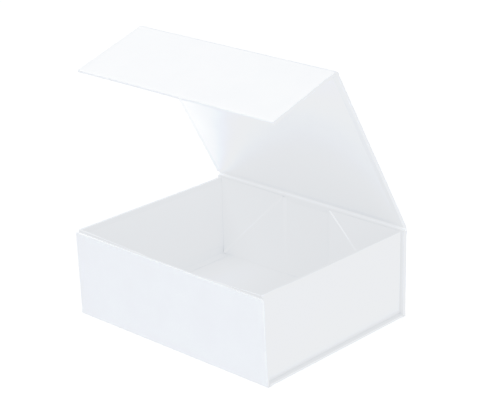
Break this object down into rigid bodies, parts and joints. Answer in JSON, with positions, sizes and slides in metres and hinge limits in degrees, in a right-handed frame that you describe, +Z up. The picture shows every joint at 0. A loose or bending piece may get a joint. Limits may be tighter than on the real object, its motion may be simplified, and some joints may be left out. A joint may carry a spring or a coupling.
{
  "type": "fold-flat gift box",
  "caption": "Rigid fold-flat gift box in white paper, with a hinged lid, a magnetic closing flap and creased corner webs; stands open and empty.",
  "frame": {"origin": "centre of the base's underside, on the surface that the box stands on", "axes": "+Z up, +Y from the front panel towards the hinged spine, +X to the right seen from the front"},
  "size_m": [0.22, 0.1808, 0.2432],
  "materials": {
    "cover_paper": "satin",
    "lining_paper": "satin",
    "greyboard": "matte",
    "magnet_nickel": "polished",
    "zinc_steel": "satin",
    "tape_film": "satin"
  },
  "bodies": {
    "base": {"base_board": "greyboard", "base_wrap": "cover_paper", "base_lining": "lining_paper", "front_hinge_paper": "cover_paper", "spine_hinge_paper": "cover_paper", "left_end_hinge_paper": "lining_paper", "right_end_hinge_paper": "lining_paper"},
    "front": {"front_board": "greyboard", "front_wrap": "cover_paper", "front_lining": "lining_paper", "front_steel_disc_left": "zinc_steel", "front_steel_disc_right": "zinc_steel", "front_left_web_glued": "lining_paper", "front_right_web_glued": "lining_paper"},
    "spine": {"spine_board": "greyboard", "spine_wrap": "cover_paper", "spine_lining": "lining_paper", "back_left_web_glued": "lining_paper", "back_right_web_glued": "lining_paper", "lid_hinge_paper": "cover_paper"},
    "lid": {"lid_board": "greyboard", "lid_wrap": "cover_paper", "lid_lining": "lining_paper", "flap_hinge_paper": "cover_paper"},
    "flap": {"flap_board": "greyboard", "flap_wrap": "cover_paper", "flap_lining": "lining_paper", "flap_magnet_left": "magnet_nickel", "flap_magnet_right": "magnet_nickel"},
    "left_end": {"left_end_board": "greyboard", "left_end_wrap": "cover_paper", "left_end_lining": "lining_paper"},
    "right_end": {"right_end_board": "greyboard", "right_end_wrap": "cover_paper", "right_end_lining": "lining_paper"},
    "front_left_web": {"front_left_web_free": "lining_paper", "front_left_web_tape": "tape_film"},
    "front_right_web": {"front_right_web_free": "lining_paper", "front_right_web_tape": "tape_film"},
    "back_left_web": {"back_left_web_free": "lining_paper", "back_left_web_tape": "tape_film"},
    "back_right_web": {"back_right_web_free": "lining_paper", "back_right_web_tape": "tape_film"}
  },
  "joints": [
    {"name": "spine_fold", "type": "hinge", "parent": "base", "child": "spine", "pos_m": [0, 0.0895, 0], "axis": [-1, 0, 0], "range_deg": [0, 90], "deforming": ["spine_hinge_paper"]},
    {"name": "front_fold", "type": "hinge", "parent": "base", "child": "front", "pos_m": [0, -0.0895, 0], "axis": [1, 0, 0], "range_deg": [0, 88.7], "deforming": ["front_hinge_paper"]},
    {"name": "left_end_fold", "type": "hinge", "parent": "base", "child": "left_end", "pos_m": [-0.1035, 0, 0.0032], "axis": [0, 1, 0], "range_deg": [0, 90], "deforming": ["left_end_hinge_paper"]},
    {"name": "right_end_fold", "type": "hinge", "parent": "base", "child": "right_end", "pos_m": [0.1035, 0, 0.0032], "axis": [0, -1, 0], "range_deg": [0, 90], "deforming": ["right_end_hinge_paper"]},
    {"name": "front_left_web_fold", "type": "hinge", "parent": "front", "child": "front_left_web", "pos_m": [-0.1032, -0.08517, 0.0033], "axis": [-0.7071, 0.016, -0.7069], "range_deg": [0, 180]},
    {"name": "front_right_web_fold", "type": "hinge", "parent": "front", "child": "front_right_web", "pos_m": [0.1032, -0.08517, 0.0033], "axis": [-0.7071, -0.016, 0.7069], "range_deg": [0, 180]},
    {"name": "back_left_web_fold", "type": "hinge", "parent": "spine", "child": "back_left_web", "pos_m": [-0.1032, 0.0851, 0.0032], "axis": [0.7071, 0, 0.7071], "range_deg": [0, 180]},
    {"name": "back_right_web_fold", "type": "hinge", "parent": "spine", "child": "back_right_web", "pos_m": [0.1032, 0.0851, 0.0032], "axis": [0.7071, 0, -0.7071], "range_deg": [0, 180]},
    {"name": "lid_hinge", "type": "hinge", "parent": "spine", "child": "lid", "pos_m": [0, 0.0895, 0.083], "axis": [1, 0, 0], "range_deg": [-120, 60], "deforming": ["lid_hinge_paper"]},
    {"name": "flap_hinge", "type": "hinge", "parent": "lid", "child": "flap", "pos_m": [0, -0.003, 0.24321], "axis": [1, 0, 0], "range_deg": [-77, 13], "deforming": ["flap_hinge_paper"]}
  ],
  "couplings": [
    {"joint": "front_fold", "follows": "spine_fold", "ratio": 0.98556},
    {"joint": "left_end_fold", "follows": "spine_fold", "ratio": 1},
    {"joint": "right_end_fold", "follows": "spine_fold", "ratio": 1},
    {"joint": "front_left_web_fold", "follows": "spine_fold", "ratio": 2},
    {"joint": "front_right_web_fold", "follows": "spine_fold", "ratio": 2},
    {"joint": "back_left_web_fold", "follows": "spine_fold", "ratio": 2},
    {"joint": "back_right_web_fold", "follows": "spine_fold", "ratio": 2}
  ]
}
